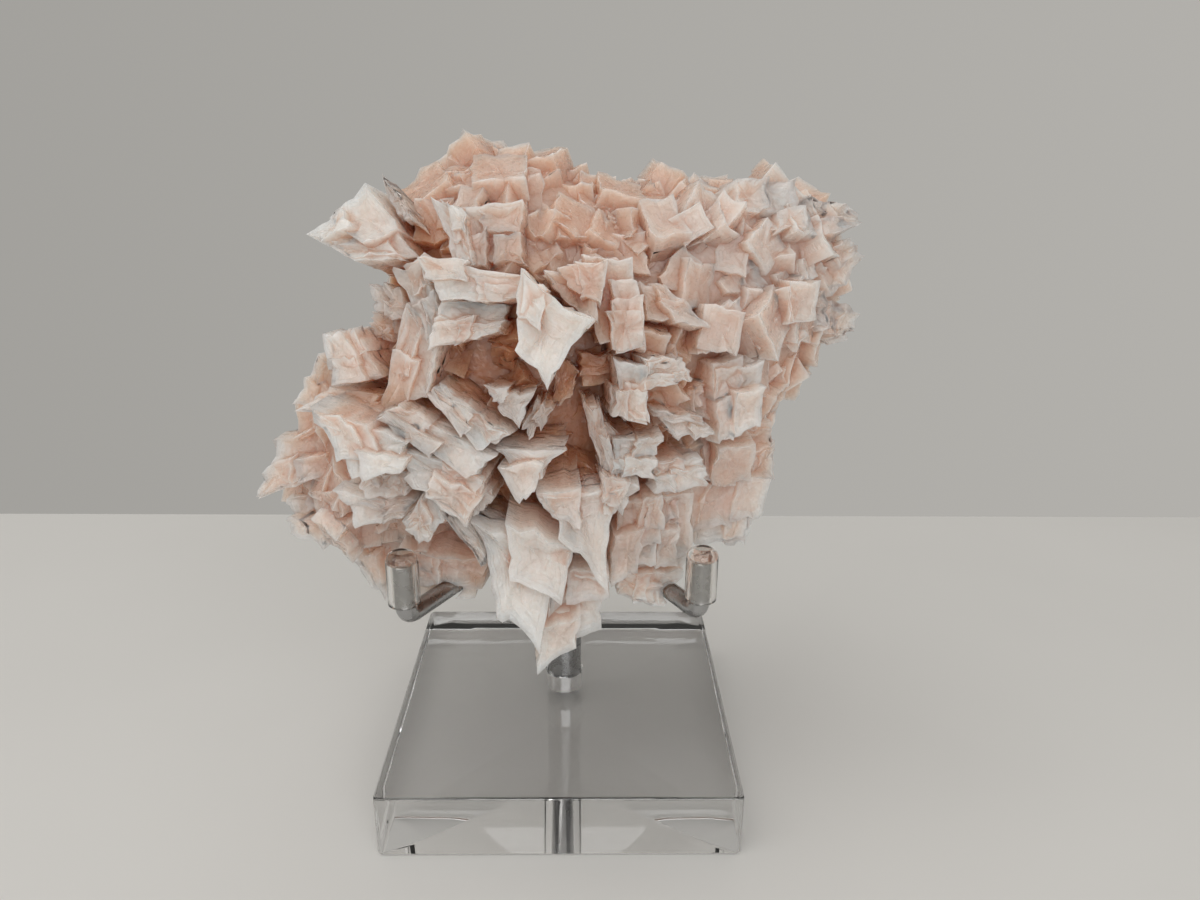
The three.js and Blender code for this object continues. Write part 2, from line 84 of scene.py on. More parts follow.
# Large hopper crystals. Each row is a front face, clockwise from the front: four corners as x, z, then the
# depth y of its middle, how far it turns and leans back in degrees, its length to the root, how white it is,
# and its pinch.
GROWTH_CENTRE = np.array([0.0, 0.0, 80.0])
GROWTH_SPREAD = 0.55
HOPPERS = np.array([
    # upper left
    (-27.5, 111.5, -20.5, 102, -29, 102, -34, 105, -24, 15, 25, 16, 0.95, 0.02),
    (-25.5, 113, -23.5, 111, -20.5, 107, -23.5, 108, -21, -20, 15, 10, 0.6, 0.05),
    (-17.5, 110, -13, 108.5, -12, 102, -14.5, 101.5, -26, -25, 10, 14, 0.95, 0.04),
    (-13, 109, -5.5, 109.5, -5.5, 102, -12.5, 101.5, -24, 15, 10, 14, 0.45, 0.05),
    (-18.5, 102.5, -4, 100.5, -5, 97.5, -16, 97.5, -31, 5, 35, 16, 0.75, 0.05),
    (-16.5, 97, -7, 96.5, -8, 92.5, -17.5, 91, -31, 5, 10, 16, 0.85, 0.05),
    (-24, 100, -19.5, 102, -16.5, 94, -18.5, 90.5, -27, -30, 10, 14, 0.7, 0.08),
    (-28, 97.5, -23.5, 97, -22.5, 93, -27.5, 93.5, -22, -10, 10, 12, 0.7, 0.06),
    (-28, 93, -23, 92.5, -23.5, 89, -28, 89.5, -21, -10, 5, 12, 0.55, 0.06),
    (-22, 94.5, -17, 90.5, -19, 82.5, -26, 80.5, -28, -25, 15, 16, 0.75, 0.06),
    (-18, 89, -13, 89, -16, 85, -19.5, 82.5, -23, 20, 10, 12, 0.25, 0.05),
    (-34, 90.5, -30.5, 91, -26, 84.5, -32.5, 84, -26, 15, 25, 16, 0.8, 0.08),
    (-36.5, 86.5, -34, 82, -37, 79, -40, 79.5, -22, -15, 10, 12, 0.6, 0.06),
    (-34, 83, -26.5, 81.5, -27.5, 79.5, -38, 80, -27, 5, 40, 14, 0.8, 0.06),
    # left middle
    (-34, 81.5, -21, 77.5, -22, 74, -29, 73, -36, 5, 20, 18, 1.0, 0.10),
    (-28.5, 72.5, -22, 72, -22.5, 69, -28, 69, -34, 5, 15, 12, 0.6, 0.04),
    (-32, 69, -21.5, 67.5, -23.5, 65, -29.5, 64, -34, 5, 20, 14, 0.65, 0.05),
    (-22.5, 81.5, -9, 75, -12.5, 72, -25, 80, -34, 5, 30, 16, 0.75, 0.06),
    (-21.5, 76, -10.5, 72, -13, 66.5, -21.5, 72, -36, 5, 20, 16, 0.75, 0.06),
    (-13.5, 72.5, -9.5, 68, -11.5, 66, -14, 66, -35, 35, 15, 12, 0.7, 0.10),
    (-18.5, 70.5, -16.5, 66, -20, 62.5, -22, 65.5, -36, -20, 15, 14, 0.85, 0.08),
    (-18.5, 70.5, -16.5, 68.5, -10.5, 59, -11.5, 59, -36, 30, 15, 14, 0.85, 0.03),
    # centre
    (-17, 84.5, -7.5, 78, -11, 76, -18.5, 83, -32, 5, 35, 14, 0.9, 0.06),
    (-16.5, 85.5, -9.5, 83, -13, 80, -18, 83, -23, 5, 25, 10, 0.35, 0.05),
    (-10, 84, -3, 83.5, -5.5, 78.5, -8, 80.5, -31, 10, 20, 14, 0.75, 0.22),
    (-5.5, 78.5, -3, 82, -0.5, 80, -4, 76.5, -30, 30, 15, 12, 0.55, 0.16),
    (-9, 76, 1.5, 75.5, -2, 71.5, -5.5, 69, -34, 5, 20, 16, 0.85, 0.24),
    (-4, 101, 5.5, 96, -1, 87, -5.5, 91.5, -38, -10, 20, 20, 1.0, 0.14),
    (3.5, 103.5, 11, 102.5, 12.5, 90, 6, 90, -27, 10, 10, 16, 0.6, 0.10),
    (-2, 100.5, 6.5, 102, 6, 93.5, 1, 96.5, -28, -5, 15, 14, 0.55, 0.08),
    (0.5, 87, 3, 85, 2, 81, -1, 80, -24, -10, 10, 10, 0.3, 0.05),
    (3.5, 87.5, 13.5, 87.5, 12.5, 84.5, 4, 82.5, -23, 5, 20, 12, 0.3, 0.04),
    (8.5, 88.5, 13, 88, 13, 80, 8.5, 80, -31, -20, 10, 14, 0.85, 0.08),
    (13, 88.5, 18.5, 88, 19.5, 85, 13, 84.5, -29, 30, 20, 12, 0.75, 0.06),
    (1, 65.5, 4.5, 68, 7, 66, 5, 64, -27, 5, 20, 8, 0.4, 0.08),
    (4, 80.5, 6.5, 81, 9, 71.5, 6.5, 71.5, -29, -20, 10, 12, 0.55, 0.05),
    (6.5, 78.5, 11, 74.5, 9, 72, 7.5, 74, -28, 25, 20, 10, 0.55, 0.06),
    # right middle
    (24.5, 84.5, 32, 86, 31, 76, 25, 74, -21, 5, 10, 16, 0.65, 0.06),
    (22, 93.5, 27.5, 95, 27.5, 88.5, 21.5, 87.5, -20, 5, 15, 14, 0.6, 0.05),
    (12.5, 98, 16.5, 97, 22, 92, 13.5, 93, -22, 10, 25, 12, 0.55, 0.10),
    (14.5, 80, 22, 78.5, 23, 76.5, 18, 75.5, -27, 5, 25, 12, 0.7, 0.06),
    (8.5, 76, 15.5, 76, 14, 71, 8.5, 71.5, -30, 5, 20, 12, 0.85, 0.08),
    (14.5, 71.5, 22.5, 71.5, 22.5, 68, 15.5, 67.5, -27, 10, 25, 12, 0.85, 0.06),
    (23, 75.5, 29, 72, 28.5, 65, 23.5, 65.5, -18, 10, 10, 12, 0.4, 0.03),
    (29.5, 71.5, 35.5, 72.5, 35.5, 64.5, 30, 63.5, -14, 15, 5, 12, 0.35, 0.03),
    (21.5, 64, 34.5, 64.5, 31.5, 54, 22.5, 54, -18, 15, 10, 14, 0.7, 0.03),
    (19.5, 80.5, 25, 82.5, 24.5, 76.5, 19.5, 77.5, -20, 5, 15, 10, 0.45, 0.05),
    # lower middle
    (-2, 69, 10, 69.5, 7.5, 55, 0.5, 62.5, -35, 10, 20, 18, 0.8, 0.14),
    (7, 71, 12.5, 69.5, 10, 65, 7, 65.5, -32, 20, 15, 12, 0.75, 0.08),
    (-12.5, 65, 2, 60, -2.5, 45.5, -9, 50.5, -37, 5, 15, 18, 1.0, 0.16),
    (-1, 55.5, 7.5, 54, 6.5, 46, -2.5, 41.5, -33, 5, 10, 16, 0.9, 0.08),
    (9.5, 64.5, 16, 66, 15.5, 55.5, 8.5, 52.5, -28, -10, 10, 14, 0.55, 0.04),
    (16, 65.5, 21.5, 65, 21.5, 54.5, 15.5, 54.5, -26, 20, 10, 14, 0.5, 0.04),
    (9.5, 54, 21.5, 54.5, 17.5, 46.5, 10, 48.5, -26, 5, 5, 14, 0.85, 0.05),
    # left rim
    (-45, 73, -38, 75.5, -36, 68.5, -47, 64.5, -22, 0, 15, 16, 0.45, 0.05),
    (-45, 62, -36, 64, -36, 54, -43.5, 56.5, -20, -10, 5, 16, 0.45, 0.04),
    (-36, 57, -25, 56.5, -27.5, 45.5, -31, 48, -22, -10, 0, 16, 0.45, 0.05),
    (-24.5, 56.5, -12.5, 53, -14, 46, -26, 47.5, -25, 10, 0, 16, 0.5, 0.05),
    # upper right
    (26, 99.5, 29.5, 102, 32.5, 97, 28.5, 94.5, -14, 5, 15, 12, 0.55, 0.03),
    (39, 94, 44, 94.5, 45, 89, 39.5, 88, -8, 10, 10, 12, 0.6, 0.04),
    (46, 92.5, 50.5, 90, 49, 86, 45, 87.5, -4.5, 25, 5, 12, 0.6, 0.06),
    (40.5, 100.5, 47, 102.5, 50, 99, 45, 94, -6, 20, 10, 12, 0.5, 0.05),
    (28, 111.5, 37.5, 112.5, 38.5, 105.5, 29, 104.5, -10, 5, 25, 14, 0.85, 0.03),
    (40.5, 109.5, 46.5, 108.5, 49.5, 105.5, 42.5, 103.5, -6, 20, 20, 12, 0.6, 0.05),
])

# Where a warm glow and shade are painted into the colour between the crystals: places x, z and their half
# width and height.
PAINTED_GLOW_GAPS = ((-4.0, 79.0, 27.0, 19.0), (-21.0, 101.0, 7.0, 6.0))

# How a crystal grows: shares of its widths, of a ledge's height or of its raggedness.
SQUARE_DIAGONAL = 1.4
EDGE_SINK = 0.5
LEDGE_STRAY = 0.35
PLATE_STRAY = (-0.045, 0.02)
RIM_RAGGED = 0.8
FACE_RAGGED = 0.5
RIM_WIDTH = 0.94
FLOOR_WIDTH = 0.25
BOWL_POWER = 1.6
FACE_LAYERS = 0.5
FLOOR_WHITE = 0.85

# Waves that bend the crystals: their lengths, and the largest start of a wave in radians.
WAVE_LENGTHS = np.geomspace(2.5, 9.0, 10)
WAVE_START = 6.28
WAVE_SEED = 3

# Parallel growth: how many smaller crystals a large one carries, and the pinch above which it has just one.
TWINS = 3
TWIN_PINCH = 0.12
LEAST_LEDGES = 4

# Small crystals that cover the top, the edges and the back. In front they stay right of a slanting line or
# above a height.
DRUSE_COUNT = 74
DRUSE_EDGE = 5.0
DRUSE_GROWTH = 5.0
DRUSE_SPREAD = 2.0
DRUSE_TILT = 0.6
DRUSE_BIAS = 1.4
DRUSE_FRONT = -66.0
DRUSE_BACK = 84.0
DRUSE_FRONT_LEFT = -30.0
DRUSE_RIGHT_OF = 20.0
DRUSE_RIGHT_SLOPE = 0.5
DRUSE_ABOVE = 101.0
DRUSE_PROUD = 0.3
DRUSE_WHITE = 0.35
GOLDEN_STEP = 0.618034

# Stand: wire and sleeves, and the places of the three wire tips.
WIRE_DIAMETER = 3.0
WIRE_BEND = 2.4
WIRE_SEAT = 2.95
ARM_HEIGHT = 48.0
FIT_GAP = 0.3
STONE_GAP = 0.45
SLEEVE_CAP = 1.6
SIDES = ("left", "right", "back")
ROOM_COLUMNS = 24


def colour_property(name, description, default):
    """A colour among the settings."""
    return FloatVectorProperty(
        name=name, description=description, default=default, size=3, min=0.0, max=1.0, subtype="COLOR")


def length_property(name, description, default, least=0.0):
    """A length in metres among the settings."""
    return FloatProperty(name=name, description=description, default=default, min=least, unit="LENGTH")


def count_property(name, description, default, most):
    """A number of crystals among the settings."""
    return IntProperty(name=name, description=description, default=default, min=0, max=most)


class HaliteSettings(bpy.types.PropertyGroup):
    """Shape and colours of the crystals."""

    hollow: FloatProperty(
        name="Hollow", description="Depth of a face as a share of the diagonal across its narrow width",
        default=0.17, min=0.0, max=0.4, subtype="FACTOR")
    root_share: FloatProperty(
        name="Root share", description="Width of a crystal's root against its face", default=0.62, min=0.2,
        max=1.0, subtype="FACTOR")
    ledge: length_property("Ledge", "Height of one growth ledge on a crystal's sides", 0.0019, 0.0005)
    ragged: length_property("Ragged", "How far each ledge's outline strays", 0.0002)
    bend: length_property("Bend", "How far crystals stray from straight", 0.0005)
    inner: count_property("Inner crystals", "Number of crystals in the gaps of the front", 120, 500)
    cover: count_property("Cover crystals", "Number of crystals that cover the heart all round", 240, 800)
    grains: count_property("Grains", "Number of the smallest crystals on the heart", 400, 1500)
    seed: IntProperty(name="Seed", description="Start of the uneven growth", default=7)
    pink: colour_property("Pink", "Colour of the milky pink crystal", (0.61, 0.43, 0.355))
    white: colour_property("White", "Colour of the white tips", (0.70, 0.645, 0.60))
    # Shade and cavity are painted shade: warm browns that darken the colour behind and between the front
    # crystals, standing in for dim, warmly scattered light.
    shade: colour_property("Shade", "Colour just behind the front crystals", (0.62, 0.345, 0.225))
    cavity_painted_shade: colour_property("Cavity", "Colour deep between the crystals", (0.50, 0.215, 0.115))


class StandSettings(bpy.types.PropertyGroup):
    """Sizes and colours of the stand."""

    wire: length_property("Wire", "Diameter of the bent wire arms", WIRE_DIAMETER * MM, 0.001)
    edge: length_property("Block edge", "Radius of the block's broken edges", 0.0005, 0.0001)
    acrylic: colour_property("Acrylic", "Tint of the clear block", (0.97, 0.97, 0.97))
    steel: colour_property("Steel", "Colour of the wire and the post", (0.42, 0.42, 0.42))
    vinyl: colour_property("Vinyl", "Tint of the clear sleeves", (0.92, 0.91, 0.89))


class StageSettings(bpy.types.PropertyGroup):
    """Light and shelf of the plain studio."""

    key_power: FloatProperty(
        name="Key", description="Power of the large soft light above", default=2.8, min=0.0, unit="POWER")
    fill_power: FloatProperty(
        name="Fill", description="Power of the soft light from the viewer's side", default=4.2, min=0.0,
        unit="POWER")
    wall: colour_property("Wall", "Colour of the air around the stand", (0.36, 0.35, 0.33))
    shelf: colour_property("Shelf", "Colour of the shelf that the stand rests on", (0.72, 0.71, 0.69))


def unit(vectors):
    """Vectors along the last axis scaled to length one."""
    return vectors / np.linalg.norm(vectors, axis=-1, keepdims=True)


def smooth(low, high, values):
    """0 below low, 1 above high and an even s-curve between."""
    share = np.clip((values - low) / (high - low), 0.0, 1.0)
    return share * share * (3.0 - 2.0 * share)


def chance(index, purpose):
    """Repeatable number from 0 to 1 for a crystal: the fraction of a large multiple of a sine."""
    value = math.sin(index * 12.9898 + purpose * 78.233) * 43758.5453
    return value - math.floor(value)


def ring_mesh(name, rings, first, last, attributes=None):
    """A closed mesh from an array of rings, rows by columns by 3, with one point closing each end.

    Neighbouring rings are joined by quads, and the end points by fans, all turned to face outwards if the
    volume they enclose comes out negative. Attributes hold one value per point: the first point, the rings
    row by row, then the last point.
    """
    rows, columns = rings.shape[:2]
    points = np.vstack([first, rings.reshape(-1, 3), last]) * MM
    here = np.arange(columns)
    after = (here + 1) % columns
    near = 1 + np.arange(rows - 1)[:, None] * columns
    far = near + columns
    quads = np.stack([near + here, far + here, far + after, near + after], axis=-1).reshape(-1, 4)
    end = np.full(columns, len(points) - 1)
    rim = 1 + (rows - 1) * columns
    fans = np.vstack([
        np.stack([np.zeros(columns, int), 1 + here, 1 + after], axis=-1),
        np.stack([end, rim + after, rim + here], axis=-1),
    ])
    triangles = points[np.vstack([fans, quads[:, :3], quads[:, [0, 2, 3]]])]
    if np.einsum("ij,ij->", triangles[:, 0], np.cross(triangles[:, 1], triangles[:, 2])) < 0:
        fans, quads = fans[:, ::-1], quads[:, ::-1]
    mesh = bpy.data.meshes.new(name)
    mesh.from_pydata(points, [], fans.tolist() + quads.tolist())
    for key, values in (attributes or {}).items():
        layer = mesh.attributes.new(key, "FLOAT", "POINT")
        layer.data.foreach_set("value", np.asarray(values, np.float32).ravel())
    mesh.update()
    return mesh


def shown(name, mesh, material, node):
    """Puts a finished mesh into the scene as the piece that stands for a node of the frame."""
    piece = bpy.data.objects.new(name, mesh)
    bpy.context.scene.collection.objects.link(piece)
    mesh.materials.clear()
    mesh.materials.append(material)
    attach(piece, "root")
    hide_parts(node)
    return piece


def soften(mesh, degrees):
    """Shades a mesh smooth except where faces meet at more than this angle."""
    mesh.polygons.foreach_set("use_smooth", np.ones(len(mesh.polygons), bool))
    mesh.set_sharp_from_angle(angle=math.radians(degrees))


def carved(name, start, grown, cut):
    """One mesh from the first, joined with every mesh of grown and then cleared of every mesh of cut."""
    solid = bpy.data.objects.new(name, start)
    bpy.context.scene.collection.objects.link(solid)
    made = [solid]
    groups = []
    for operation, meshes in (("UNION", grown), ("DIFFERENCE", cut)):
        if not meshes:
            continue
        group = bpy.data.collections.new(name + operation)
        groups.append(group)
        for mesh in meshes:
            part = bpy.data.objects.new(mesh.name, mesh)
            group.objects.link(part)
            made.append(part)
        modifier = solid.modifiers.new(operation, "BOOLEAN")
        modifier.operation = operation
        modifier.operand_type = "COLLECTION"
        modifier.collection = group
        modifier.solver = "MANIFOLD"
    graph = bpy.context.evaluated_depsgraph_get()
    result = bpy.data.meshes.new_from_object(solid.evaluated_get(graph), depsgraph=graph)
    for part in made:
        mesh = part.data
        bpy.data.objects.remove(part)
        bpy.data.meshes.remove(mesh)
    for group in groups:
        bpy.data.collections.remove(group)
    if not result.polygons:
        raise RuntimeError(f"{name} came out empty")
    result.name = name
    return result


@dataclass
class Growth:
    """How one crystal grows: colour and form, ragged and bend in millimetres, then how finely it is drawn."""

    white: float
    pinch: float
    hollow: float
    root_share: float
    ragged: float
    bend: float
    per_edge: int
    ledges: int
    face_rows: int


def bent(points, amount):
    """Points moved a little by smooth waves through space, so that neighbouring edges wander alike.

    Each wave is a sine of the place along one direction and pushes along another. Together they move a point
    by about the amount.
    """
    rng = np.random.default_rng(WAVE_SEED)
    moved = np.zeros_like(points)
    for length in WAVE_LENGTHS:
        heading, push = unit(rng.normal(size=(2, 3)))
        phase = points @ heading * 2 * math.pi / length + rng.uniform(0, WAVE_START)
        moved += push * np.sin(phase)[..., None]
    return points + moved * amount / math.sqrt(len(WAVE_LENGTHS))


def narrow_width(corners):
    """The shorter of a face's two widths between the middles of opposite edges."""
    middles = (corners + np.roll(corners, -1, axis=0)) / 2
    return min(np.linalg.norm(middles[0] - middles[2]), np.linalg.norm(middles[1] - middles[3]))


def crystal_mesh(name, corners, root, growth, rng):
    """One hopper crystal, from its root over its rim to the floor of its hollow face.

    Its outline runs round the four corners, with each edge bowed towards the middle and inwards by the pinch
    times 4e(1 - e), where e goes from 0 to 1 along the edge. From the root the outline widens in ledges like
    stacked plates, each with its own width and ragged outline. On the face it shrinks towards the middle and
    sinks by the drop times 1 - s ** BOWL_POWER, where s is its share of the full width. The layer attribute
    is the distance from the rim, negative on the face, and white fades towards the root.
    """
    middle = corners.mean(axis=0)
    axis = root - middle
    length = np.linalg.norm(axis)
    inward = axis / length
    span = narrow_width(corners)
    e = np.linspace(0, 1, growth.per_edge, endpoint=False)[None, :, None]
    start = corners[:, None]
    end = np.roll(corners, -1, axis=0)[:, None]
    bow = growth.pinch * 4 * e * (1 - e)
    outline = start + (end - start) * e
    edge = np.linalg.norm(end - start, axis=2, keepdims=True)
    outline = outline + (middle - outline) * bow + inward * bow * edge * EDGE_SINK
    outline = outline.reshape(-1, 3) - middle
    columns = len(outline)
    reach = np.linalg.norm(outline, axis=1)

    ledges = growth.ledges
    cuts = np.linspace(1, 0, ledges + 1)
    cuts[1:-1] += rng.uniform(-LEDGE_STRAY, LEDGE_STRAY, ledges - 1) / ledges
    along = np.repeat(cuts, 2)[1:-1]
    width = growth.root_share + (1 - growth.root_share) * (np.arange(ledges) + 1) / ledges
    width[:-1] += rng.uniform(*PLATE_STRAY, ledges - 1)
    uneven = rng.normal(0, growth.ragged, (ledges, columns)) / reach
    scale = np.repeat(width[:, None] * (1 + uneven), 2, axis=0)
    side = outline * scale[..., None] + axis * along[:, None, None]
    side[-1] += inward * rng.normal(0, growth.ragged * RIM_RAGGED, (columns, 1))

    rows = growth.face_rows
    inset = np.linspace(1, FLOOR_WIDTH, rows + 1)[1:]
    inset[0] = RIM_WIDTH
    drop = growth.hollow * SQUARE_DIAGONAL * span
    scale = inset[:, None] * (1 + uneven[-1] * inset[:, None])
    sunk = drop * (1 - inset[:, None] ** BOWL_POWER)
    sunk = sunk + rng.normal(0, growth.ragged * FACE_RAGGED, (rows, columns))
    face = outline * scale[..., None] + inward * sunk[..., None]

    rings = bent(middle + np.vstack([side, face]), growth.bend)
    layer = np.concatenate([along * length, -FACE_LAYERS * span * (1 - inset)])
    face_white = FLOOR_WHITE + (1 - FLOOR_WHITE) * inset
    paleness = growth.white * np.concatenate([1 - smooth(0.1, 1.0, along), face_white])
    attributes = {
        "layer": np.concatenate([[length], np.repeat(layer, columns), [-FACE_LAYERS * span]]),
        "white": np.concatenate([[0.0], np.repeat(paleness, columns), [FLOOR_WHITE * growth.white]]),
    }
    ends = bent(np.stack([root, middle + inward * drop]), growth.bend)
    return ring_mesh(name, rings, ends[0], ends[1], attributes)


def face_corners(row):
    """The four corners of a row of the list: its depth plus the slopes of its turn and lean."""
    x, z = row[0:8:2], row[1:8:2]
    depth = row[8] + math.tan(math.radians(row[9])) * (x - x.mean())
    depth = depth + math.tan(math.radians(row[10])) * (z - z.mean())
    return np.stack([x, depth, z], axis=-1)


def part_of_face(corners, inward, rng):
    """Corners of a smaller face in parallel growth, at one corner of the face and a little proud or sunk.

    A point of the face mixes the four corners by its shares u across and v down.
    """
    size = rng.uniform(0.4, 0.8, 2)
    low = np.where(rng.random(2) < 0.5, -0.05, 1.05 - size)
    high = low + size
    u = np.array([low[0], high[0], high[0], low[0]])[:, None]
    v = np.array([low[1], low[1], high[1], high[1]])[:, None]
    above = (1 - u) * corners[0] + u * corners[1]
    below = (1 - u) * corners[3] + u * corners[2]
    place = (1 - v) * above + v * below
    span = narrow_width(corners)
    return place + inward * span * rng.uniform(-0.14, 0.1) + rng.normal(0, 0.025 * span, (4, 3))


def unevenness(settings):
    """How ragged and how bent crystals are, in millimetres."""
    return settings.ragged / MM, settings.bend / MM


def large_crystals(settings, rng):
    """The listed crystals. Each root lies from the face towards its own point beside the growth centre.

    Smaller crystals grow in parallel on each, fewer on those with deeply pinched faces.
    """
    meshes = []
    uneven = unevenness(settings)
    for number, row in enumerate(HOPPERS):
        corners = face_corners(row)
        middle = corners.mean(axis=0)
        source = GROWTH_CENTRE + GROWTH_SPREAD * (middle - GROWTH_CENTRE)
        source[1] = GROWTH_CENTRE[1]
        length, white, pinch = row[11:14]
        inward = unit(source - middle)
        root = middle + length * inward
        ledges = max(LEAST_LEDGES, round(length * MM / settings.ledge))
        growth = Growth(white, pinch, settings.hollow, settings.root_share, *uneven, 7, ledges, 4)
        meshes.append(crystal_mesh(f"hopper{number}", corners, root, growth, rng))
        for extra in range(1 if pinch > TWIN_PINCH else TWINS):
            part = part_of_face(corners, inward, rng)
            foot = part.mean(axis=0) + inward * length * rng.uniform(0.6, 0.9)
            growth = Growth(
                white * rng.uniform(0.7, 1.1), rng.uniform(0.0, 0.08), settings.hollow * 0.6, 0.8, *uneven,
                5, 3, 2)
            meshes.append(crystal_mesh(f"hopper{number}_{extra}", part, foot, growth, rng))
    return meshes


def heart_points(share, angle):
    """Points on the heart: share runs once round the outline, angle from -90 in front to 90 at the back.

    The outline shrinks towards the heart's middle by a power of the angle's cosine, and depth follows its
    sine, with a lean across and up.
    """
    count = len(HEART_OUTLINE)
    knots = np.arange(count + 1)
    ring = np.vstack([HEART_OUTLINE, HEART_OUTLINE[:1]])
    place = (share % 1.0) * count
    spread = np.cos(np.radians(angle)) ** HEART_FULLNESS
    x = spread * np.interp(place, knots, ring[:, 0])
    up = spread * (np.interp(place, knots, ring[:, 1]) - HEART_MIDDLE[2])
    y = HEART_MIDDLE[1] + HEART_HALF_DEPTH * np.sin(np.radians(angle)) + HEART_LEAN_X * x + HEART_LEAN_Z * up
    return np.stack([x, y, up + HEART_MIDDLE[2]], axis=-1)


def heart_mesh():
    """The heart as rings of outline points, from its front to its back."""
    count = len(HEART_OUTLINE) * 3
    share = -np.arange(count)[None, :] / count
    angle = np.linspace(-82, 82, 21)[:, None]
    share, angle = np.broadcast_arrays(share, angle)
    rings = heart_points(share, angle)
    poles = heart_points(np.zeros(2), np.array([-90.0, 90.0]))
    points = rings.size // 3 + 2
    return ring_mesh("heart", rings, poles[0], poles[1], {
        "layer": np.zeros(points), "white": np.full(points, 0.2)})


def face_frame(out, spin):
    """Two directions across a face that looks along out, turned about it by spin."""
    side = unit(np.cross(out, np.array([0.31, 0.22, 0.93])))
    up = np.cross(side, out)
    return math.cos(spin) * side + math.sin(spin) * up, math.cos(spin) * up - math.sin(spin) * side


def block_corners(place, out, spin, edges, proud):
    """Corners of a right-angled face above a point, clockwise as seen from outside."""
    side, up = face_frame(out, spin)
    steps = np.array([(-1, 1), (1, 1), (1, -1), (-1, -1)]) * np.array(edges) / 2
    return place + out * proud + steps[:, :1] * side + steps[:, 1:] * up


def outward(place, angle, wobble):
    """The heart's way out at a place: away from the middle in front view, and along Y by the angle's sine."""
    radial = unit(np.array([place[0], 0.0, place[2] - HEART_MIDDLE[2]]))
    tilt = math.radians(angle)
    return unit(radial * math.cos(tilt) + np.array([0.0, math.sin(tilt), 0.0]) + wobble)


def druse_white(place):
    """How white small crystals are: pink on the left and behind, paler to the upper right of the front."""
    forward = smooth(-4.0, 6.0, -place[1])
    return DRUSE_WHITE + 0.45 * forward * float(smooth(18.0, 48.0, place[0] + 0.8 * (place[2] - 95.0)))


def small_crystals(settings, rng):
    """Druse on the top, right and back: hollow-faced blocks, spread by the golden step round the heart."""
    meshes = []
    uneven = unevenness(settings)
    for index in range(DRUSE_COUNT):
        backward = ((index + 0.5) / DRUSE_COUNT) ** DRUSE_BIAS
        angle = DRUSE_FRONT + (DRUSE_BACK - DRUSE_FRONT) * backward
        place = heart_points(np.array(index * GOLDEN_STEP), np.array(angle))
        slant = place[0] + DRUSE_RIGHT_SLOPE * (place[2] - HEART_MIDDLE[2])
        if angle <= DRUSE_FRONT_LEFT and slant <= DRUSE_RIGHT_OF and place[2] <= DRUSE_ABOVE:
            continue
        wobble = DRUSE_TILT * (np.array([chance(index, k) for k in (1, 2, 3)]) - 0.5)
        out = outward(place, angle, wobble)
        edge = DRUSE_EDGE + DRUSE_GROWTH * backward + DRUSE_SPREAD * chance(index, 4)
        corners = block_corners(place, out, math.pi * chance(index, 5), (edge, edge), edge * DRUSE_PROUD)
        growth = Growth(druse_white(place), 0.02, 0.04, 0.95, *uneven, 5, 2, 2)
        root = corners.mean(axis=0) - out * edge
        meshes.append(crystal_mesh(f"druse{index}", corners, root, growth, rng))
    return meshes


def scattered_crystals(name, count, front, back, sizes, proud, tilt, growth, rng):
    """Crystals strewn over the heart between two angles, at random heights, tilts and sizes.

    Every other one is spread evenly over the front view, where the area goes with the square of the outline's
    share, and the rest evenly in depth. Each takes its white from its place.
    """
    meshes = []
    limits = np.radians([front, back])
    depths = np.sin(limits)
    areas = np.sign(limits) * (1 - np.cos(limits) ** (2 * HEART_FULLNESS))
    for index in range(count):
        if index % 2:
            area = rng.uniform(*areas)
            angle = math.copysign(math.acos((1 - abs(area)) ** (0.5 / HEART_FULLNESS)), area)
        else:
            angle = math.asin(rng.uniform(*depths))
        angle = math.degrees(angle)
        place = heart_points(np.array(rng.uniform(0, 1)), np.array(angle))
        out = outward(place, angle, rng.normal(0, tilt, 3))
        edges = rng.uniform(*sizes) * rng.uniform(0.75, 1.25, 2)
        corners = block_corners(place, out, rng.uniform(0, math.pi), edges, edges.min() * rng.uniform(*proud))
        foot = corners.mean(axis=0) - out * edges.mean() * 1.5
        tinted = replace(growth, white=druse_white(place))
        meshes.append(crystal_mesh(f"{name}{index}", corners, foot, tinted, rng))
    return meshes


def all_crystals(settings, rng):
    """Large crystals, druse, inner crystals in the gaps of the front, a cover all round and small grains."""
    uneven = unevenness(settings)
    inner = Growth(DRUSE_WHITE, 0.06, 0.08, 0.85, *uneven, 4, 3, 1)
    cover = Growth(DRUSE_WHITE, 0.02, 0.05, 0.9, *uneven, 4, 2, 1)
    grain = Growth(DRUSE_WHITE, 0.02, 0.08, 0.9, *uneven, 2, 1, 1)
    return [
        *large_crystals(settings, rng),
        *small_crystals(settings, rng),
        *scattered_crystals("inner", settings.inner, -89, -35, (3.0, 7.0), (0.2, 1.0), 0.5, inner, rng),
        *scattered_crystals("cover", settings.cover, -60, 89, (2.6, 7.0), (0.05, 0.2), 0.3, cover, rng),
        *scattered_crystals("grain", settings.grains, -89, 89, (1.6, 3.6), (0.15, 0.5), 0.4, grain, rng),
    ]


def post_axis():
    """The point on the post's axis at the height of the arms."""
    low, high = node_box("post")
    return np.array([(low[0] + high[0]) / 2, (low[1] + high[1]) / 2, ARM_HEIGHT])


def wire_tips():
    """The top of each wire's centre line, from the sleeves' boxes in the frame."""
    tips = []
    for side in SIDES:
        low, high = node_box("sleeve_" + side)
        middle = (low + high) / 2
        tips.append(np.array([middle[0], middle[1], high[2] - SLEEVE_CAP - FIT_GAP]))
    return tips


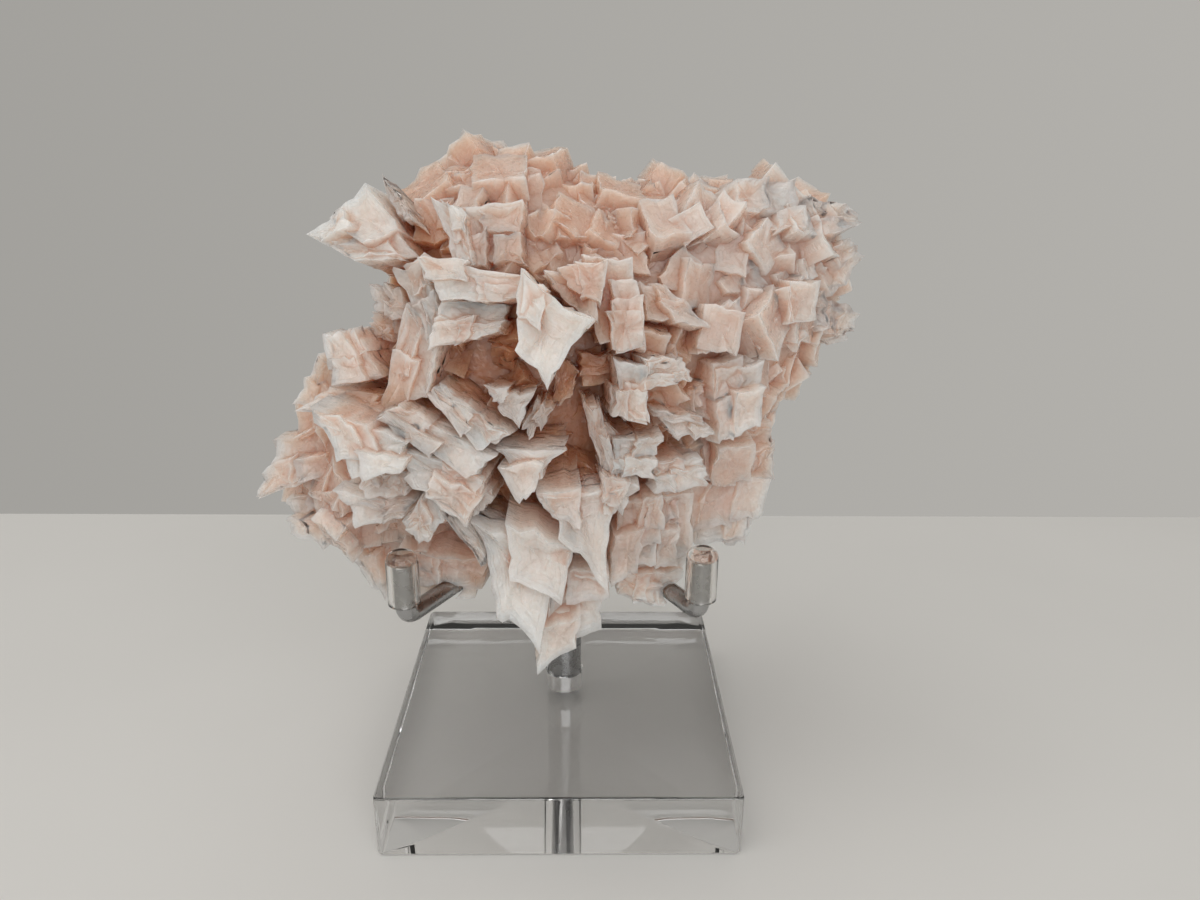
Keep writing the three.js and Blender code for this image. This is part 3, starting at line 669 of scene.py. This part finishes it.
def wire_path(tip):
    """A wire's centre line: straight out from the post, a quarter bend as a quadratic curve, then up."""
    level = post_axis()
    corner = np.array([tip[0], tip[1], ARM_HEIGHT])
    reach = np.linalg.norm(corner - level)
    out = (corner - level) / reach
    begin = level + out * (reach - WIRE_BEND)
    finish = corner + np.array([0.0, 0.0, WIRE_BEND])
    t = np.linspace(0, 1, 12)[:, None]
    bend = (1 - t) ** 2 * begin + 2 * t * (1 - t) * corner + t ** 2 * finish
    return np.vstack([level + out * WIRE_SEAT, bend, tip])


def round_bar(name, path, radius, columns=40, edge=0.0):
    """A round bar: a circle carried along a path that bends in one upright plane, with its ends closed.

    The circle is spanned by the level direction across the path and by that crossed with the tangent.
    """
    ahead = np.gradient(path, axis=0)
    ahead[0] = path[1] - path[0]
    ahead[-1] = path[-1] - path[-2]
    ahead = unit(ahead)
    chord = path[-1] - path[0]
    level = np.array([chord[1], -chord[0], 0.0])
    sideways = unit(level if np.linalg.norm(level) > 1e-6 else np.array([1.0, 0.0, 0.0]))
    upright = np.cross(sideways, ahead)
    turn = np.linspace(0, 2 * math.pi, columns, endpoint=False)[None, :, None]
    circle = np.cos(turn) * sideways + np.sin(turn) * upright[:, None]
    rings = path[:, None] + radius * circle
    if edge:
        first = path[0] + (radius - edge) * circle[0]
        last = path[-1] + (radius - edge) * circle[-1]
        rings[0] += ahead[0] * edge
        rings[-1] -= ahead[-1] * edge
        rings = np.vstack([first[None], rings, last[None]])
    return ring_mesh(name, rings, path[0], path[-1])


def turned(name, profile, centre, columns=64):
    """A profile of radius and height turned about an upright axis, its first and last points on the axis."""
    profile = np.array(profile, float)
    turn = np.linspace(0, 2 * math.pi, columns, endpoint=False)
    circle = np.stack([np.cos(turn), np.sin(turn), np.zeros(columns)], axis=-1)
    place = np.array([centre[0], centre[1], 0.0])
    upright = np.array([0.0, 0.0, 1.0])
    rings = place + profile[1:-1, :1, None] * circle + profile[1:-1, 1:, None] * upright
    return ring_mesh(name, rings, place + profile[0, 1] * upright, place + profile[-1, 1] * upright)


def room(name, low, high, centre):
    """An upright cylinder that clears a round node by the gap at the stone, from the node's box."""
    radius = (high[0] - low[0]) / 2 + STONE_GAP
    crown = high[2] + STONE_GAP
    profile = [(0, low[2]), (radius, low[2]), (radius, crown), (0, crown)]
    return turned(name, profile, centre, ROOM_COLUMNS)


def rooms():
    """Space that the cluster leaves for the arms, the sleeves and the post."""
    meshes = []
    for side, tip in zip(SIDES, wire_tips()):
        meshes.append(round_bar("wire_room", wire_path(tip), WIRE_DIAMETER / 2 + STONE_GAP, ROOM_COLUMNS))
        meshes.append(room("sleeve_room", *node_box("sleeve_" + side), tip))
    meshes.append(room("post_room", *node_box("post"), post_axis()))
    return meshes


def mark_painted_shade(mesh):
    """Writes how deep each point lies behind the crystals around it, from 0 at their front to 1 deep inside.

    A map in front view keeps the nearest depth in each cell. Its soft minimum over the cells around, the log
    of the mean of exponentials weighted by a bell curve, is the front there. A point's depth behind that is
    its hollow, which counts most in the warm gaps. The hollow is the mask of painted shade: there the
    material paints darker warm browns in place of the dim, warmly scattered light between the crystals.
    """
    cell, reach, softness, bell = 1.5, 8, 4.0, 5.0
    points = np.empty(len(mesh.vertices) * 3, np.float32)
    mesh.vertices.foreach_get("co", points)
    points = points.reshape(-1, 3).astype(float) / MM
    middles = np.empty(len(mesh.polygons) * 3, np.float32)
    mesh.polygons.foreach_get("center", middles)
    samples = np.vstack([points, middles.reshape(-1, 3) / MM])
    corner = samples.min(axis=0)[[0, 2]] - cell * (reach + 1)
    cells = ((samples[:, [0, 2]] - corner) / cell).astype(int)
    shape = cells.max(axis=0) + reach + 2
    nearest = np.full(shape, np.inf)
    np.minimum.at(nearest, (cells[:, 0], cells[:, 1]), samples[:, 1])
    filled = np.isfinite(nearest).astype(float)
    raised = np.exp(-np.where(filled > 0, nearest, 0.0) / softness) * filled
    total, weight = np.zeros(shape), np.full(shape, 1e-9)
    for i in range(-reach, reach + 1):
        for j in range(-reach, reach + 1):
            share = math.exp(-(i * i + j * j) * cell * cell / (2 * bell ** 2))
            total += share * np.roll(raised, (i, j), axis=(0, 1))
            weight += share * np.roll(filled, (i, j), axis=(0, 1))
    front = -softness * np.log(np.maximum(total / weight, 1e-9))
    place = (points[:, [0, 2]] - corner) / cell - 0.5
    base = np.floor(place).astype(int)
    part = place - base
    level = sum(
        front[base[:, 0] + i, base[:, 1] + j] * np.abs(1 - i - part[:, 0]) * np.abs(1 - j - part[:, 1])
        for i in (0, 1) for j in (0, 1))
    lean = HEART_LEAN_X * points[:, 0] + HEART_LEAN_Z * (points[:, 2] - HEART_MIDDLE[2])
    behind = smooth(1.0, 9.0, points[:, 1] - level)
    seen = 1 - smooth(-10.0, 0.0, points[:, 1] - lean)
    near = np.zeros(len(points))
    for x, z, wide, high in PAINTED_GLOW_GAPS:
        away = np.hypot((points[:, 0] - x) / wide, (points[:, 2] - z) / high)
        near = np.maximum(near, 1 - smooth(0.6, 1.25, away))
    # Painted shade: the hollow attribute tells the material where to paint darker warm browns between the
    # crystals.
    layer = mesh.attributes.new("hollow", "FLOAT", "POINT")
    layer.data.foreach_set("value", (behind * seen * (0.3 + 0.7 * near)).astype(np.float32))


def linked(tree, kind, inputs=None, **values):
    """Adds a node, sets its properties, and sets or links its inputs by name or number."""
    node = tree.nodes.new(kind)
    for key, value in values.items():
        setattr(node, key, value)
    for key, value in (inputs or {}).items():
        if isinstance(value, bpy.types.NodeSocket):
            tree.links.new(value, node.inputs[key])
        else:
            node.inputs[key].default_value = value
    return node


def mottle_group():
    """Soft uneven patches: noise over the object, spread between a low and a high value."""
    name = "Mottle"
    if name in bpy.data.node_groups:
        return bpy.data.node_groups[name]
    tree = bpy.data.node_groups.new(name, "ShaderNodeTree")
    for key, value in (("Scale", 100.0), ("Low", 0.0), ("High", 1.0)):
        socket = tree.interface.new_socket(key, in_out="INPUT", socket_type="NodeSocketFloat")
        socket.default_value = value
    tree.interface.new_socket("Value", in_out="OUTPUT", socket_type="NodeSocketFloat")
    given = tree.nodes.new("NodeGroupInput")
    place = linked(tree, "ShaderNodeTexCoord")
    noise = linked(tree, "ShaderNodeTexNoise", {
        "Vector": place.outputs["Object"], "Scale": given.outputs["Scale"], "Detail": 3.0})
    spread = linked(tree, "ShaderNodeMapRange", {
        "Value": noise.outputs["Fac"], "From Min": 0.3, "From Max": 0.7, "To Min": given.outputs["Low"],
        "To Max": given.outputs["High"]})
    linked(tree, "NodeGroupOutput", {"Value": spread.outputs["Result"]})
    return tree


def mottle(tree, scale, low, high):
    """The mottle group placed in a material, as its output socket."""
    node = linked(tree, "ShaderNodeGroup", node_tree=mottle_group())
    for key, value in (("Scale", scale), ("Low", low), ("High", high)):
        node.inputs[key].default_value = value
    return node.outputs["Value"]


def new_material(name):
    """A material with an empty node tree, its Principled shader and its output."""
    material = bpy.data.materials.new(name)
    material.use_nodes = True
    tree = material.node_tree
    tree.nodes.clear()
    shader = linked(tree, "ShaderNodeBsdfPrincipled")
    output = linked(tree, "ShaderNodeOutputMaterial", {"Surface": shader.outputs["BSDF"]})
    return material, tree, shader, output


def blend(tree, share, first, second):
    """Colour mix of two sockets or colours by a share."""
    return linked(tree, "ShaderNodeMix", {0: share, 6: first, 7: second}, data_type="RGBA").outputs[2]


def math_node(tree, operation, first, second=0.0, clamp=False):
    """One arithmetic step on sockets or numbers."""
    node = linked(tree, "ShaderNodeMath", {0: first, 1: second}, operation=operation, use_clamp=clamp)
    return node.outputs[0]


def ramp(tree, value, low, high):
    """0 to 1 as a value goes from low to high."""
    node = linked(tree, "ShaderNodeMapRange", {"Value": value, "From Min": low, "From Max": high})
    return node.outputs["Result"]


def halite_material(settings):
    """Milky crystal: pink, whiter near rims, warm brown deep between crystals, with fine growth lines.

    Light scatters below its surface, and a few dark specks lie on it. The warm brown deep between crystals is
    painted shade, mixed in where the hollow attribute is high.
    """
    material, tree, shader, _ = new_material("halite_milky")
    white = linked(tree, "ShaderNodeAttribute", attribute_name="white").outputs["Fac"]
    hollow = linked(tree, "ShaderNodeAttribute", attribute_name="hollow").outputs["Fac"]
    layer = linked(tree, "ShaderNodeAttribute", attribute_name="layer").outputs["Fac"]
    place = linked(tree, "ShaderNodeTexCoord").outputs["Object"]

    rim = math_node(tree, "SUBTRACT", 1.0, ramp(tree, math_node(tree, "ABSOLUTE", layer), 0.0, 0.9))
    spread = linked(tree, "ShaderNodeTexNoise", {"Vector": place, "Scale": 160.0}).outputs["Fac"]
    lines = linked(tree, "ShaderNodeTexNoise", {
        "W": math_node(tree, "ADD", layer, math_node(tree, "MULTIPLY", spread, 2.0)), "Scale": 2.4,
        "Detail": 1.0}, noise_dimensions="1D").outputs["Fac"]
    sugar = linked(tree, "ShaderNodeTexNoise", {
        "Vector": place, "Scale": 1100.0, "Detail": 2.0}).outputs["Fac"]
    pale = math_node(tree, "ADD", white, mottle(tree, 180.0, -0.18, 0.12))
    fine = math_node(tree, "MULTIPLY", lines, 0.45)
    fine = math_node(tree, "ADD", fine, math_node(tree, "MULTIPLY", sugar, 0.6))
    pale = math_node(tree, "ADD", pale, math_node(tree, "SUBTRACT", fine, 0.525))
    pale = math_node(tree, "ADD", pale, math_node(tree, "MULTIPLY", rim, 0.12), clamp=True)
    colour = blend(tree, pale, (*settings.pink, 1.0), (*settings.white, 1.0))
    # Painted shade: where the hollow mask is high the colour turns to the shade and cavity browns, in place
    # of dim, warmly scattered light.
    deep = math_node(tree, "MULTIPLY", hollow, mottle(tree, 260.0, 0.75, 1.15), clamp=True)
    warm = blend(tree, ramp(tree, deep, 0.45, 1.0), (*settings.shade, 1.0), (*settings.cavity_painted_shade, 1.0))
    colour = blend(tree, ramp(tree, deep, 0.0, 0.6), colour, warm)
    specks = linked(tree, "ShaderNodeTexVoronoi", {"Vector": place, "Scale": 240.0, "Randomness": 1.0})
    speck = math_node(tree, "LESS_THAN", specks.outputs["Distance"], 0.045)
    chosen = math_node(tree, "GREATER_THAN", linked(
        tree, "ShaderNodeSeparateColor", {"Color": specks.outputs["Color"]}).outputs[0], 0.9)
    colour = blend(tree, math_node(tree, "MULTIPLY", speck, chosen), colour, (0.16, 0.13, 0.11, 1.0))
    tree.links.new(colour, shader.inputs["Base Color"])

    bump = linked(tree, "ShaderNodeBump", {"Height": fine, "Strength": 0.6, "Distance": 0.0005})
    tree.links.new(bump.outputs["Normal"], shader.inputs["Normal"])
    tree.links.new(mottle(tree, 900.0, 0.16, 0.45), shader.inputs["Roughness"])
    shader.inputs["IOR"].default_value = 1.54
    shader.inputs["Subsurface Weight"].default_value = 1.0
    shader.inputs["Subsurface Radius"].default_value = (1.0, 0.84, 0.75)
    shader.inputs["Subsurface Scale"].default_value = 0.009
    return material


def clear_material(name, tint, ior, roughness, density):
    """Clear plastic: plain transmission with a little absorption, and faint smears in its polish."""
    material, tree, shader, output = new_material(name)
    shader.inputs["Base Color"].default_value = (*tint, 1.0)
    shader.inputs["Transmission Weight"].default_value = 1.0
    shader.inputs["IOR"].default_value = ior
    tree.links.new(mottle(tree, 120.0, roughness, roughness * 3), shader.inputs["Roughness"])
    volume = linked(tree, "ShaderNodeVolumeAbsorption", {"Color": (*tint, 1.0), "Density": density})
    tree.links.new(volume.outputs["Volume"], output.inputs["Volume"])
    return material


def steel_material(settings):
    """Bright drawn steel: uneven polish with faint fine scratches."""
    name = "drawn_steel"
    if name in bpy.data.materials:
        return bpy.data.materials[name]
    material, tree, shader, _ = new_material(name)
    shade = mottle(tree, 350.0, 0.0, 0.35)
    dark = tuple(0.7 * part for part in settings.steel)
    colour = blend(tree, shade, (*settings.steel, 1.0), (*dark, 1.0))
    tree.links.new(colour, shader.inputs["Base Color"])
    shader.inputs["Metallic"].default_value = 1.0
    tree.links.new(mottle(tree, 500.0, 0.18, 0.34), shader.inputs["Roughness"])
    fine = linked(tree, "ShaderNodeTexNoise", {
        "Vector": linked(tree, "ShaderNodeTexCoord").outputs["Object"], "Scale": 3000.0})
    bump = linked(tree, "ShaderNodeBump", {
        "Height": fine.outputs["Fac"], "Strength": 0.15, "Distance": 0.00005})
    tree.links.new(bump.outputs["Normal"], shader.inputs["Normal"])
    return material


class HALITE_OT_cluster(bpy.types.Operator):
    """Grow the cluster of hopper crystals on its heart and clear it where the stand holds it"""

    bl_idname = "halite.cluster"
    bl_label = "Crystal cluster"

    def execute(self, context):
        settings = context.scene.halite
        rng = np.random.default_rng(settings.seed)
        mesh = carved("halite_crystals", heart_mesh(), all_crystals(settings, rng), rooms())
        soften(mesh, 32)
        mark_painted_shade(mesh)
        shown("halite_crystals", mesh, halite_material(settings), "halite_cluster")
        return {"FINISHED"}


def square_outline(half, round_edge, per_side, per_corner):
    """A rounded square as points, counter-clockwise from the lower end of its right side."""
    turn = np.linspace(0, math.pi / 2, per_corner)
    corner = np.stack([np.cos(turn), np.sin(turn)], axis=-1) * round_edge + (half - round_edge)
    up = np.linspace(-1, 1, per_side + 1, endpoint=False)[1:, None] * (half - round_edge)
    side = np.hstack([np.full_like(up, half), up])
    quarter = np.vstack([side, corner])
    turns = [np.array([[c, s], [-s, c]]) for c, s in ((1, 0), (0, 1), (-1, 0), (0, -1))]
    return np.vstack([quarter @ matrix for matrix in turns])


def block_mesh(settings):
    """The clear block, from the middle of its underside out over its sides and down into the post's bore.

    Each ring is the rounded square outline at one inset and height; quarter circles round its lower and upper
    edges, and on top the rings change to circles at the same headings for the bore.
    """
    low, high = node_box("acrylic_base")
    half = high[0]
    edge = settings.edge / MM
    outline = square_outline(half, 2 * edge, 12, 6)
    heading = unit(outline)
    turn = np.linspace(0, math.pi / 2, 6)
    inset = np.concatenate([edge * (1 - np.sin(turn)), edge * (1 - np.cos(turn))])
    height = np.concatenate([low[2] + edge * (1 - np.cos(turn)), high[2] - edge * (1 - np.sin(turn))])
    flat = outline[None] * (1 - inset / half)[:, None, None]
    square = np.concatenate([flat, np.broadcast_to(height[:, None, None], (*flat.shape[:2], 1))], axis=2)
    post_low, post_high = node_box("post")
    bore = (post_high[0] - post_low[0]) / 2 + FIT_GAP
    chamfer = 0.2
    floor = post_low[2] - FIT_GAP
    depths = ((bore + chamfer, high[2]), (bore, high[2] - chamfer), (bore, floor))
    place = post_axis()[:2]
    hole = np.stack([
        np.column_stack([place + heading * radius, np.full(len(heading), z)]) for radius, z in depths])
    rings = np.concatenate([square, hole])
    return ring_mesh("acrylic_block", rings, np.array([0, 0, low[2]]), np.array([*place, floor]))


class HALITE_OT_block(bpy.types.Operator):
    """Make the clear block that the stand rests on, bored for its post"""

    bl_idname = "halite.block"
    bl_label = "Clear block"

    def execute(self, context):
        settings = context.scene.halite_stand
        mesh = block_mesh(settings)
        soften(mesh, 40)
        material = clear_material("polished_acrylic", settings.acrylic, 1.49, 0.004, 2.0)
        shown("acrylic_block", mesh, material, "acrylic_base")
        return {"FINISHED"}


class HALITE_OT_post(bpy.types.Operator):
    """Make the upright post, drilled for the arms"""

    bl_idname = "halite.post"
    bl_label = "Post"

    def execute(self, context):
        low, high = node_box("post")
        radius = (high[0] - low[0]) / 2
        edge = 0.8
        rod = turned("post_rod", [
            (0, low[2]), (radius, low[2]), (radius, high[2] - edge), (radius - edge, high[2]), (0, high[2])],
            post_axis())
        holes = []
        for tip in wire_tips():
            path = wire_path(tip)
            out = unit(path[1] - path[0])
            hole = np.vstack([path[0] - out * FIT_GAP, path[0] + out * 2 * radius])
            holes.append(round_bar("hole", hole, WIRE_DIAMETER / 2 + FIT_GAP, 32))
        mesh = carved("post_rod", rod, [], holes)
        soften(mesh, 30)
        shown("post_rod", mesh, steel_material(context.scene.halite_stand), "post")
        return {"FINISHED"}


class HALITE_OT_arms(bpy.types.Operator):
    """Bend the three wire arms that carry the cluster"""

    bl_idname = "halite.arms"
    bl_label = "Wire arms"

    def execute(self, context):
        settings = context.scene.halite_stand
        for side, tip in zip(SIDES, wire_tips()):
            name = "wire_" + side
            mesh = round_bar(name, wire_path(tip), settings.wire / MM / 2, 48, edge=0.25)
            soften(mesh, 40)
            shown(name, mesh, steel_material(settings), "arm_" + side)
        return {"FINISHED"}


def sleeve_mesh(name, low, high, tip):
    """A thin cup over a wire tip: down its bore, round the lip, up the outside and over a domed end."""
    outer = (high[0] - low[0]) / 2
    inner = WIRE_DIAMETER / 2 + FIT_GAP
    roof = tip[2] + FIT_GAP
    turn = np.radians(np.linspace(0, 90, 9))
    dome = np.stack([
        outer - SLEEVE_CAP + SLEEVE_CAP * np.cos(turn),
        high[2] - SLEEVE_CAP + SLEEVE_CAP * np.sin(turn)], axis=-1)
    lip = 0.2
    profile = [
        (0, roof), (inner - lip, roof), (inner, roof - lip), (inner, low[2] + lip), (inner + lip, low[2]),
        (outer - lip, low[2]), (outer, low[2] + lip), *map(tuple, dome), (0, high[2])]
    return turned(name, profile, tip, 48)


class HALITE_OT_sleeves(bpy.types.Operator):
    """Slip a clear sleeve over the tip of each arm"""

    bl_idname = "halite.sleeves"
    bl_label = "Clear sleeves"

    def execute(self, context):
        settings = context.scene.halite_stand
        material = clear_material("clear_vinyl", settings.vinyl, 1.5, 0.02, 20.0)
        for side, tip in zip(SIDES, wire_tips()):
            low, high = node_box("sleeve_" + side)
            name = "tube_" + side
            mesh = sleeve_mesh(name, low, high, tip)
            soften(mesh, 35)
            shown(name, mesh, material, "sleeve_" + side)
        return {"FINISHED"}


# The photograph's camera: its place, its slope below the horizon, its turn to the right and its roll.
EYE = np.array([4.091, -159.262, 121.008])
EYE_SLOPE = math.radians(19.7495)
EYE_TURN = math.radians(1.0148)
EYE_ROLL = math.radians(0.5788)
EYE_FOCAL = 27.64
EYE_SENSOR = 36.0

SHELF_BACK = 115.0
SHELF_FRONT = -900.0
SHELF_HALF_WIDTH = 1200.0
SHELF_THICKNESS = 18.0
SHELF_GAP = 0.05


def add_camera():
    """The camera, from the directions of its view, its right and its down turned by its roll."""
    level = math.cos(EYE_SLOPE)
    ahead = np.array([math.sin(EYE_TURN) * level, math.cos(EYE_TURN) * level, -math.sin(EYE_SLOPE)])
    right = np.array([math.cos(EYE_TURN), -math.sin(EYE_TURN), 0.0])
    down = np.cross(ahead, right)
    right, down = (
        math.cos(EYE_ROLL) * right - math.sin(EYE_ROLL) * down,
        math.sin(EYE_ROLL) * right + math.cos(EYE_ROLL) * down)
    camera = bpy.data.objects.new("camera", bpy.data.cameras.new("camera"))
    camera.data.lens = EYE_FOCAL
    camera.data.sensor_width = EYE_SENSOR
    camera.data.sensor_fit = "HORIZONTAL"
    camera.data.clip_start = 0.005
    place = np.eye(4)
    place[:3, 0], place[:3, 1], place[:3, 2], place[:3, 3] = right, -down, -ahead, EYE * MM
    camera.matrix_world = Matrix(place.tolist())
    bpy.context.scene.collection.objects.link(camera)
    bpy.context.scene.camera = camera


def add_shelf(settings):
    """A pale slab under the stand, its back edge a little behind it."""
    x = np.array([-1, 1, 1, -1]) * SHELF_HALF_WIDTH
    y = np.array([SHELF_FRONT, SHELF_FRONT, SHELF_BACK, SHELF_BACK])
    rings = np.stack([np.column_stack([x, y, np.full(4, z)]) for z in (-SHELF_THICKNESS, -SHELF_GAP)])
    ends = rings.mean(axis=1)
    mesh = ring_mesh("shelf", rings, ends[0], ends[1])
    material, tree, shader, _ = new_material("painted_shelf")
    dull = tuple(0.96 * part for part in settings.shelf)
    colour = blend(tree, mottle(tree, 9.0, 0.0, 1.0), (*settings.shelf, 1.0), (*dull, 1.0))
    tree.links.new(colour, shader.inputs["Base Color"])
    shader.inputs["Roughness"].default_value = 0.6
    mesh.materials.append(material)
    shelf = bpy.data.objects.new("shelf", mesh)
    bpy.context.scene.collection.objects.link(shelf)


def add_light(name, place, target, width, power, colour):
    """A square soft light at a place, facing a target, both in metres."""
    data = bpy.data.lights.new(name, "AREA")
    data.size = width
    data.energy = power
    data.color = colour
    light = bpy.data.objects.new(name, data)
    ahead = unit(np.array(target, float) - np.array(place, float))
    side = unit(np.cross(ahead, np.array([0.0, 0.2, 1.0])))
    turn = np.eye(4)
    turn[:3, 0], turn[:3, 1], turn[:3, 2], turn[:3, 3] = side, np.cross(side, ahead), -ahead, place
    light.matrix_world = Matrix(turn.tolist())
    bpy.context.scene.collection.objects.link(light)


def set_air(settings):
    """A plain grey world, a little lighter to the right."""
    world = bpy.data.worlds.new("studio_air")
    world.use_nodes = True
    tree = world.node_tree
    tree.nodes.clear()
    heading = linked(tree, "ShaderNodeTexCoord").outputs["Generated"]
    rightward = linked(tree, "ShaderNodeSeparateXYZ", {0: heading}).outputs["X"]
    light = tuple(1.25 * part for part in settings.wall)
    colour = blend(tree, ramp(tree, rightward, -0.6, 0.6), (*settings.wall, 1.0), (*light, 1.0))
    background = linked(tree, "ShaderNodeBackground", {"Color": colour, "Strength": 1.0})
    linked(tree, "ShaderNodeOutputWorld", {"Surface": background.outputs["Background"]})
    bpy.context.scene.world = world


class HALITE_OT_studio(bpy.types.Operator):
    """Set the shelf, the soft lights, the grey air and the camera"""

    bl_idname = "halite.studio"
    bl_label = "Studio"

    def execute(self, context):
        settings = context.scene.halite_stage
        add_shelf(settings)
        set_air(settings)
        middle = (0.0, 0.0, 0.07)
        add_light("key", (-0.35, -0.25, 0.85), middle, 0.7, settings.key_power, (1.0, 0.985, 0.96))
        add_light("fill", (0.15, -0.85, 0.45), middle, 0.8, settings.fill_power, (0.97, 0.985, 1.0))
        add_camera()
        context.scene.view_settings.view_transform = "Standard"
        return {"FINISHED"}


class HALITE_PT_sidebar(bpy.types.Panel):
    """Lists the steps and their settings"""

    bl_idname = "HALITE_PT_sidebar"
    bl_label = "Pink halite"
    bl_space_type = "VIEW_3D"
    bl_region_type = "UI"
    bl_category = "Halite"

    def draw(self, context):
        stand = (HALITE_OT_block, HALITE_OT_post, HALITE_OT_arms, HALITE_OT_sleeves)
        groups = (
            (context.scene.halite, (HALITE_OT_cluster,)),
            (context.scene.halite_stand, stand),
            (context.scene.halite_stage, (HALITE_OT_studio,)),
        )
        for settings, operators in groups:
            box = self.layout.box()
            for key in settings.__annotations__:
                box.prop(settings, key)
            for operator in operators:
                box.operator(operator.bl_idname)


CLASSES = (
    HaliteSettings, StandSettings, StageSettings, HALITE_OT_cluster, HALITE_OT_block, HALITE_OT_post,
    HALITE_OT_arms, HALITE_OT_sleeves, HALITE_OT_studio, HALITE_PT_sidebar,
)


def register():
    for cls in CLASSES:
        bpy.utils.register_class(cls)
    bpy.types.Scene.halite = PointerProperty(type=HaliteSettings)
    bpy.types.Scene.halite_stand = PointerProperty(type=StandSettings)
    bpy.types.Scene.halite_stage = PointerProperty(type=StageSettings)


def unregister():
    del bpy.types.Scene.halite_stage
    del bpy.types.Scene.halite_stand
    del bpy.types.Scene.halite
    for cls in reversed(CLASSES):
        bpy.utils.unregister_class(cls)


def main():
    register()
    bpy.ops.halite.studio()
    bpy.ops.halite.block()
    bpy.ops.halite.post()
    bpy.ops.halite.arms()
    bpy.ops.halite.sleeves()
    bpy.ops.halite.cluster()


if __name__ == "__main__":
    main()
